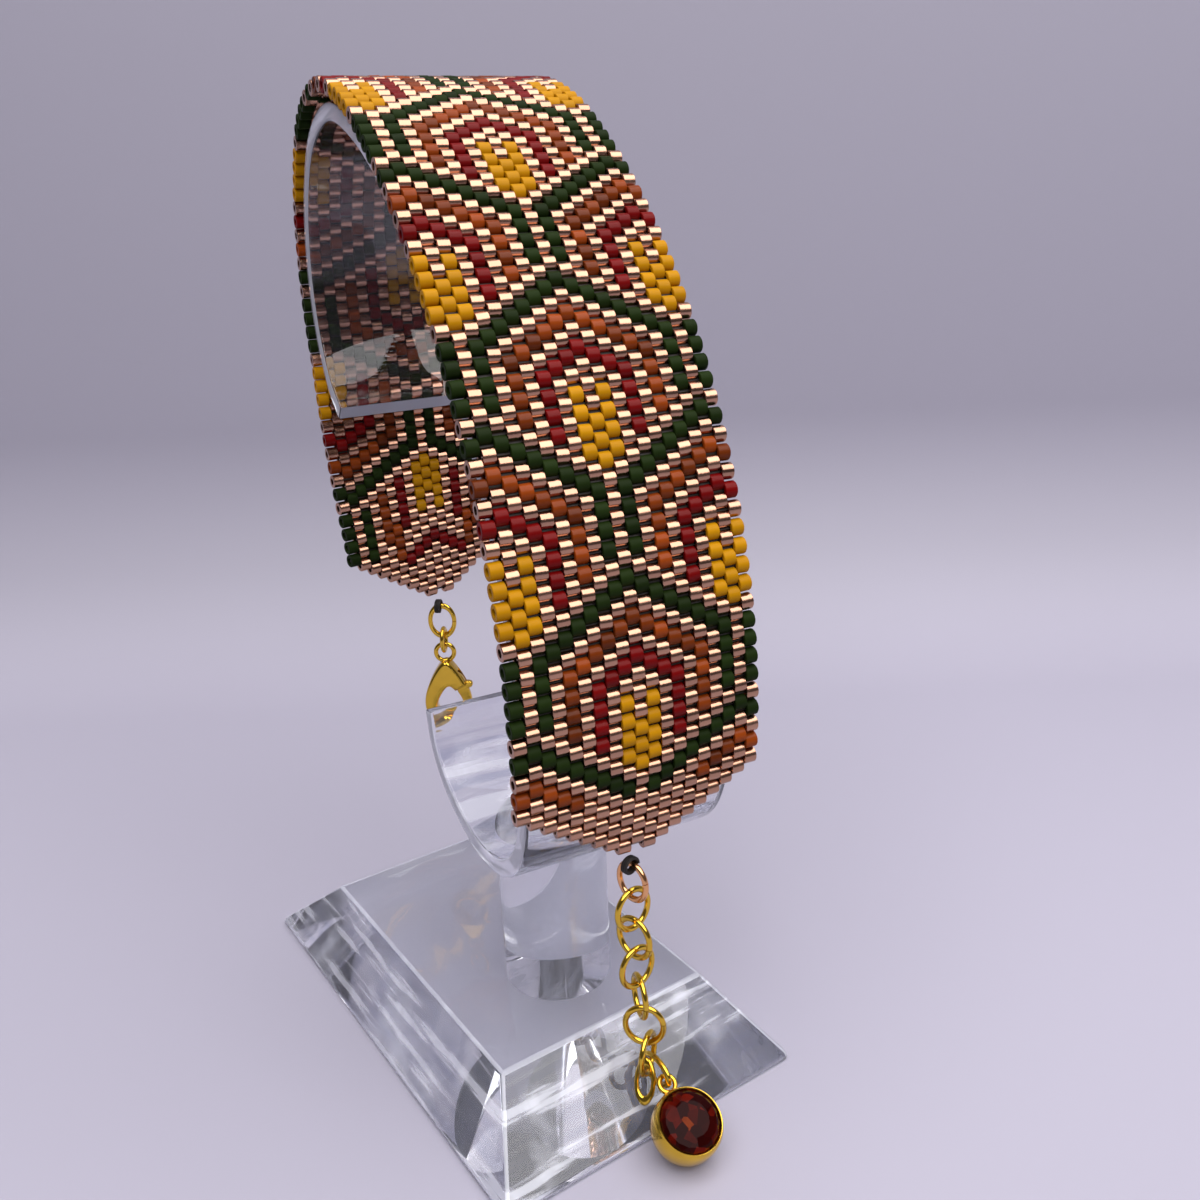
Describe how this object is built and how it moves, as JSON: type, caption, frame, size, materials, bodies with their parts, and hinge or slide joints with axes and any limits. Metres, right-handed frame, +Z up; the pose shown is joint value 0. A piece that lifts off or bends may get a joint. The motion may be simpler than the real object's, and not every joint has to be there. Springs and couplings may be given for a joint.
{
  "type": "beaded bracelet on a clear display stand",
  "caption": "Wide bead-woven bracelet with pointed ends, an extender chain with a stone drop and a lobster clasp, draped open over a clear curved stand on a post and bevelled base.",
  "frame": {"origin": "centre of the underside of the stand's base", "axes": "+X to the front, where the chain hangs; +Y across the band, to the right seen from the front; +Z up"},
  "size_m": [0.0744, 0.045, 0.1039],
  "materials": {
    "acrylic": "clear polished",
    "bead_champagne": "metallic rose-champagne glass, satin glints",
    "bead_green": "matte dark green glass",
    "bead_orange": "glossy orange-brown glass",
    "bead_red": "glossy deep red glass",
    "bead_yellow": "satin mustard yellow glass",
    "gold": "bright yellow plating",
    "rose_gold": "bright rose plating",
    "thread": "dark waxed thread",
    "stone": "faceted dark red, polished"
  },
  "bodies": {
    "stand_and_bracelet": {"stand_base": "acrylic", "stand_post": "acrylic", "stand_cradle": "acrylic", "beaded_band": "bead_champagne", "front_thread_loop": "thread", "front_jump_ring": "rose_gold", "chain_link_1": "gold", "chain_link_2": "gold", "chain_link_3": "gold", "chain_link_4": "gold", "chain_link_5": "gold", "chain_link_6": "gold", "chain_end_link": "gold", "drop_ring": "gold", "drop_setting": "gold", "drop_stone": "stone", "back_thread_loop": "thread", "back_ring": "gold", "back_link": "gold", "clasp_body": "gold"},
    "lever": {"clasp_lever": "gold"}
  },
  "joints": [
    {"name": "lever_hinge", "type": "hinge", "parent": "stand_and_bracelet", "child": "lever", "pos_m": [-0.03087, 0.00583, 0.0285], "axis": [-0.8988, 0.4384, 0], "range_deg": [0, 30], "stiffness_Nm_per_rad": 0.002}
  ]
}
